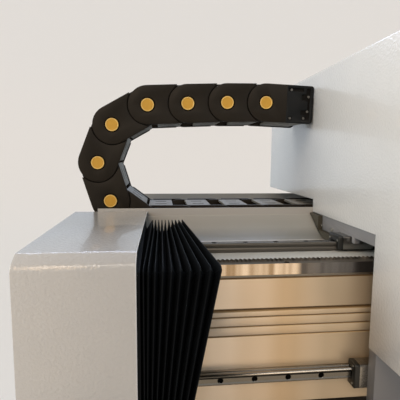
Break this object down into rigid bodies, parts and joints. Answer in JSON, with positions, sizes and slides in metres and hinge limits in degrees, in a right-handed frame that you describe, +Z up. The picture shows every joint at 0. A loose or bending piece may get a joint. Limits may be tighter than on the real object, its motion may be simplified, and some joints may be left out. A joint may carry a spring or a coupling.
{
  "type": "fiber laser cutting machine",
  "caption": "Open-bed gantry laser cutter with a slatted table, racked beam, white covers, bellows, drag chain on the carriage and a cutting head.",
  "frame": {"origin": "on the floor under the middle of the bed", "axes": "+X along the beam to the right, +Y along the bed away from the operator's end, +Z up"},
  "size_m": [2.4434, 4, 1.5465],
  "materials": {
    "white_enamel": "gloss enamel with fine orange peel",
    "grey_enamel": "satin enamel",
    "drawer_enamel": "satin enamel",
    "ground_steel": "ground",
    "slat_steel": "mill finish",
    "machined_aluminium": "milled and brushed",
    "block_steel": "blackened",
    "motor_black": "satin black",
    "chain_plastic": "moulded",
    "bellows_cloth": "coated cloth"
  },
  "bodies": {
    "bed": {"bed_frame": "grey_enamel", "slat_table": "slat_steel", "bed_rail_left": "ground_steel", "bed_rail_right": "ground_steel", "bed_rack_left": "ground_steel", "bed_rack_right": "ground_steel"},
    "gantry": {"gantry_beam": "machined_aluminium", "beam_rail_top": "ground_steel", "beam_rail_front": "ground_steel", "beam_rack": "ground_steel", "chain_tray": "white_enamel", "end_cover_left": "white_enamel", "end_cover_right": "white_enamel", "end_plate_left": "machined_aluminium", "end_plate_right": "machined_aluminium", "bed_block_left_front": "block_steel", "bed_block_left_rear": "block_steel", "bed_block_right_front": "block_steel", "bed_block_right_rear": "block_steel", "bed_motor_left": "motor_black", "bed_motor_right": "motor_black", "bellows_left": "bellows_cloth", "bellows_right": "bellows_cloth"},
    "carriage": {"saddle": "grey_enamel", "carriage_cover": "white_enamel", "beam_block_top_left": "block_steel", "beam_block_top_right": "block_steel", "beam_block_front_left": "block_steel", "beam_block_front_right": "block_steel", "beam_motor": "motor_black", "head_motor": "motor_black", "head_rail_left": "ground_steel", "head_rail_right": "ground_steel", "chain_link_01": "chain_plastic", "chain_link_02": "chain_plastic", "chain_link_03": "chain_plastic", "chain_link_04": "chain_plastic", "chain_link_05": "chain_plastic", "chain_link_06": "chain_plastic", "chain_link_07": "chain_plastic", "chain_link_08": "chain_plastic", "chain_link_09": "chain_plastic", "chain_link_10": "chain_plastic", "chain_link_11": "chain_plastic", "chain_bracket_upper": "chain_plastic", "chain_bracket_lower": "chain_plastic"},
    "head": {"head_plate": "machined_aluminium", "cutting_head": "machined_aluminium", "nozzle": "ground_steel"},
    "beam_pinion": {"beam_pinion": "ground_steel"},
    "bed_pinion_left": {"bed_pinion_left": "ground_steel"},
    "bed_pinion_right": {"bed_pinion_right": "ground_steel"},
    "head_screw": {"head_screw": "ground_steel"},
    "scrap_drawer_front": {"scrap_drawer_front": "drawer_enamel"},
    "scrap_drawer_rear": {"scrap_drawer_rear": "drawer_enamel"}
  },
  "joints": [
    {"name": "gantry_slide", "type": "slide", "parent": "bed", "child": "gantry", "axis": [0, 1, 0], "range_m": [0, 3]},
    {"name": "carriage_slide", "type": "slide", "parent": "gantry", "child": "carriage", "axis": [1, 0, 0], "range_m": [-0.26, 1.22]},
    {"name": "head_slide", "type": "slide", "parent": "carriage", "child": "head", "axis": [0, 0, 1], "range_m": [-0.1, 0]},
    {"name": "beam_pinion_spin", "type": "hinge", "parent": "carriage", "child": "beam_pinion", "pos_m": [-0.559, -1.61275, 1.19], "axis": [0, 0, 1], "range_deg": [-760, 3510]},
    {"name": "bed_pinion_left_spin", "type": "hinge", "parent": "gantry", "child": "bed_pinion_left", "pos_m": [-1.17475, -1.68, 0.86], "axis": [0, 0, 1], "range_deg": [-8610, 10]},
    {"name": "bed_pinion_right_spin", "type": "hinge", "parent": "gantry", "child": "bed_pinion_right", "pos_m": [1.17475, -1.68, 0.86], "axis": [0, 0, 1], "range_deg": [-10, 8610]},
    {"name": "head_screw_spin", "type": "hinge", "parent": "carriage", "child": "head_screw", "pos_m": [-0.479, -1.6736, 1.08], "axis": [0, 0, 1], "range_deg": [-3610, 10]},
    {"name": "front_drawer_slide", "type": "slide", "parent": "bed", "child": "scrap_drawer_front", "axis": [0, -1, 0], "range_m": [0, 1.2]},
    {"name": "rear_drawer_slide", "type": "slide", "parent": "bed", "child": "scrap_drawer_rear", "axis": [0, 1, 0], "range_m": [0, 1.2]}
  ],
  "couplings": [
    {"joint": "beam_pinion_spin", "follows": "carriage_slide", "rad_per_m": 50},
    {"joint": "bed_pinion_left_spin", "follows": "gantry_slide", "rad_per_m": -50},
    {"joint": "bed_pinion_right_spin", "follows": "gantry_slide", "rad_per_m": 50},
    {"joint": "head_screw_spin", "follows": "head_slide", "rad_per_m": 628.32}
  ]
}
